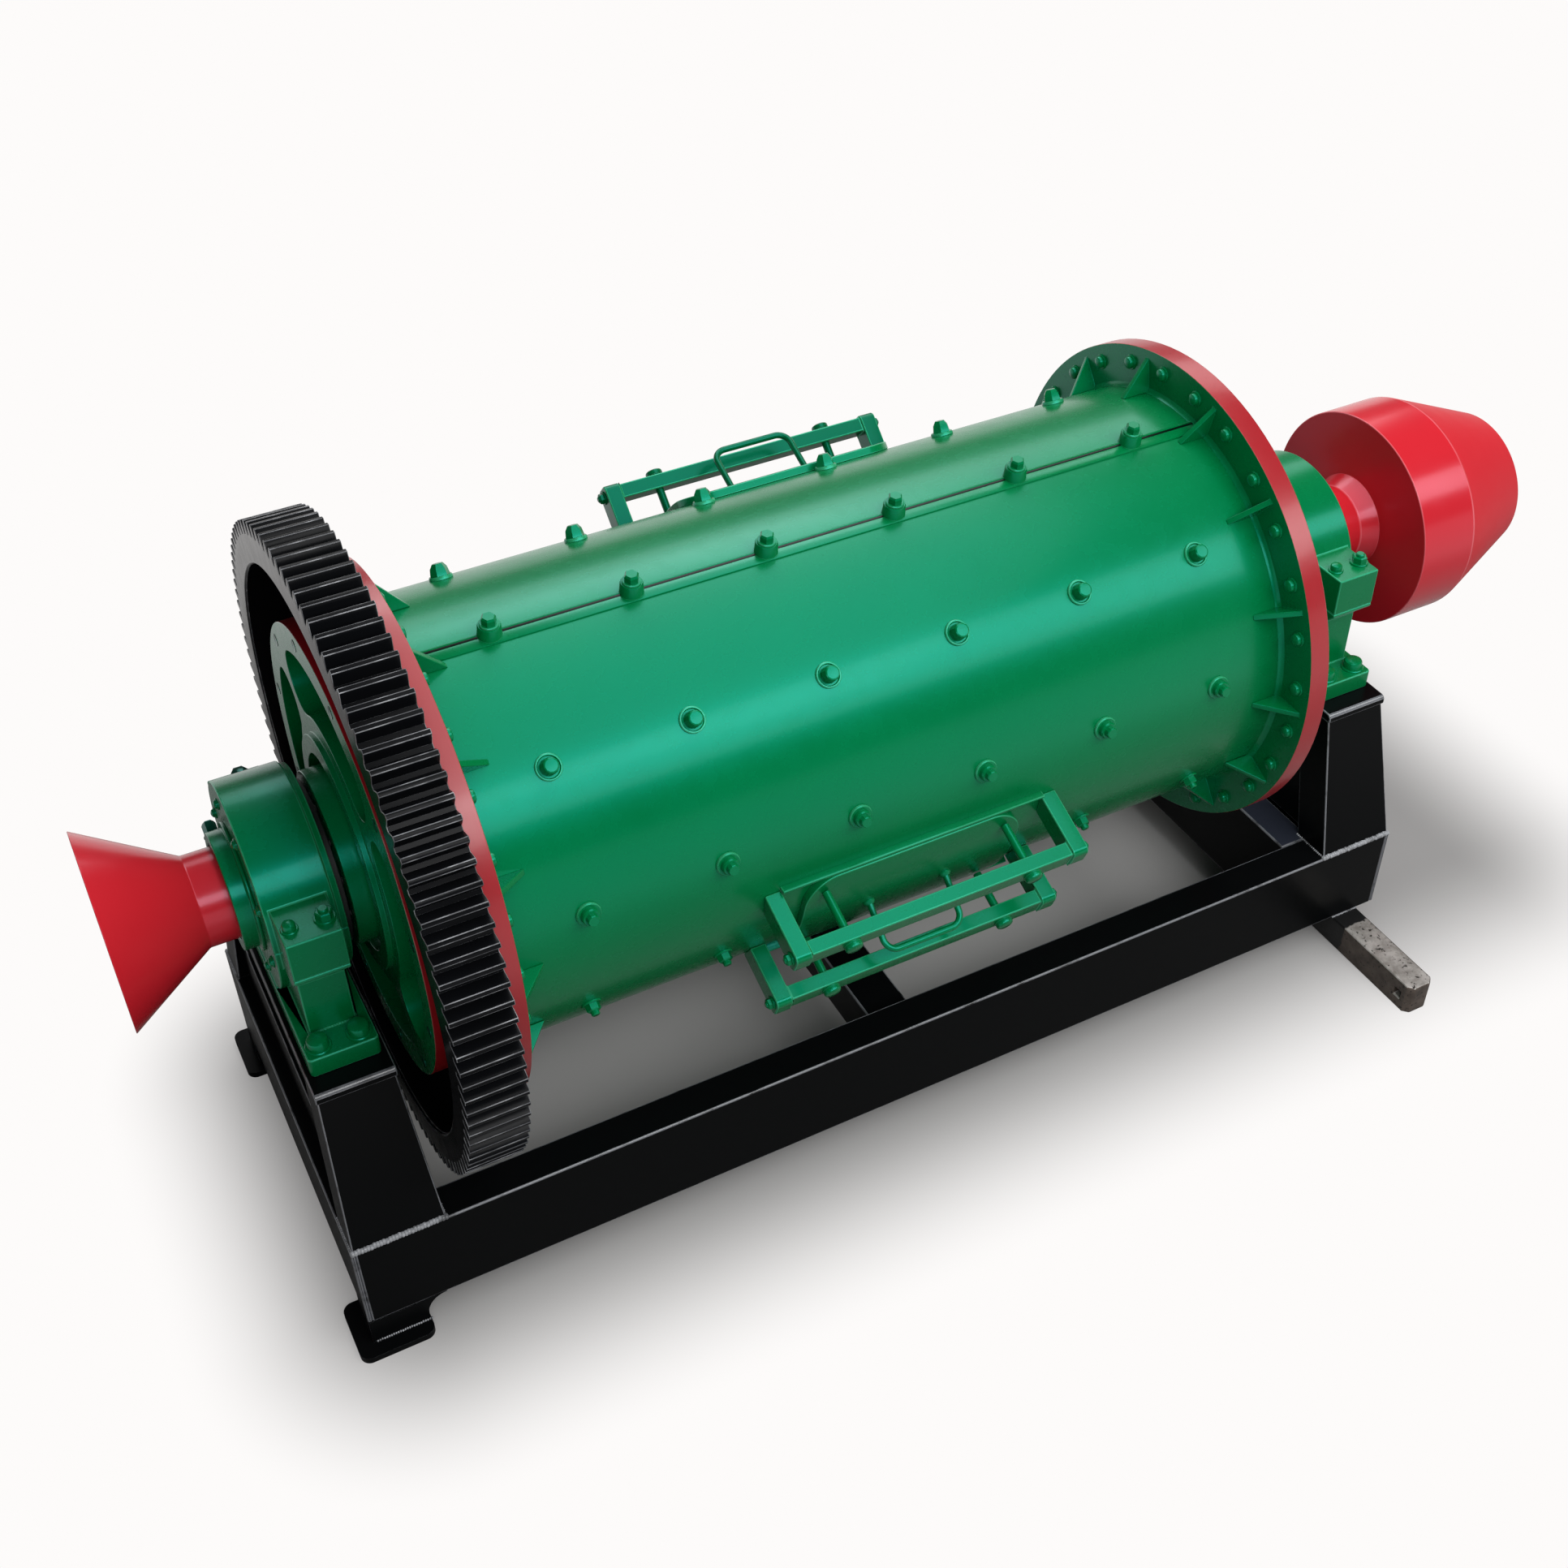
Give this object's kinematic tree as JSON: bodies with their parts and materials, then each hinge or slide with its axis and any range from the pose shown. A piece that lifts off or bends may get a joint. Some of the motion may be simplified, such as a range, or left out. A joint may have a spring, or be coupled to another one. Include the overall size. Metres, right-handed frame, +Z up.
{
  "type": "ball mill",
  "caption": "Horizontal grinding ball mill: a bolted drum with a girth gear, discharge trumpet and drum feeder, turning in split bearings on a welded channel frame.",
  "frame": {"origin": "on the ground under the middle of the overall length, on the mill's axis plane", "axes": "+X along the mill's axis from the discharge end to the feed end, +Z up, the side with the lower manhole at -Y"},
  "size_m": [3.363, 1.52, 1.5738],
  "materials": {
    "green_enamel": "gloss enamel",
    "red_enamel": "gloss enamel",
    "black_enamel": "gloss enamel",
    "gear_iron": "black paint worn at the teeth",
    "liner_iron": "rough cast",
    "bare_steel": "weathered bare steel"
  },
  "bodies": {
    "frame": {"discharge_bearing_base": "green_enamel", "discharge_bearing_cap": "green_enamel", "discharge_cross_beam": "black_enamel", "discharge_end_beam": "black_enamel", "discharge_end_cover": "green_enamel", "discharge_front_post": "black_enamel", "discharge_inner_panel": "black_enamel", "discharge_outer_panel": "black_enamel", "discharge_rear_post": "black_enamel", "discharge_seal_ring": "black_enamel", "discharge_seat_plate": "black_enamel", "feed_bearing_base": "green_enamel", "feed_bearing_cap": "green_enamel", "feed_cross_beam": "black_enamel", "feed_end_beam": "black_enamel", "feed_end_cover": "green_enamel", "feed_front_post": "black_enamel", "feed_inner_panel": "black_enamel", "feed_outer_panel": "black_enamel", "feed_rear_post": "black_enamel", "feed_seal_ring": "black_enamel", "feed_seat_plate": "black_enamel", "feed_skid": "bare_steel", "front_foot": "black_enamel", "front_rail": "black_enamel", "middle_cross_beam": "black_enamel", "rear_foot": "black_enamel", "rear_rail": "black_enamel"},
    "drum": {"shell": "green_enamel", "shell_liner": "liner_iron", "discharge_flange": "green_enamel", "feed_flange": "green_enamel", "girth_gear": "gear_iron", "discharge_head": "green_enamel", "discharge_trunnion": "green_enamel", "feed_head": "green_enamel", "discharge_trumpet": "red_enamel", "feeder_neck": "red_enamel", "feeder_drum": "red_enamel", "front_manhole_cover": "green_enamel", "front_upper_clamp": "green_enamel", "front_lower_clamp": "green_enamel", "front_handle": "green_enamel", "rear_manhole_cover": "green_enamel", "rear_clamp": "green_enamel", "rear_handle": "green_enamel"}
  },
  "joints": [
    {"name": "mill_spin", "type": "hinge", "parent": "frame", "child": "drum", "pos_m": [0, 0, 0.90182], "axis": [1, 0, 0], "continuous": true}
  ]
}
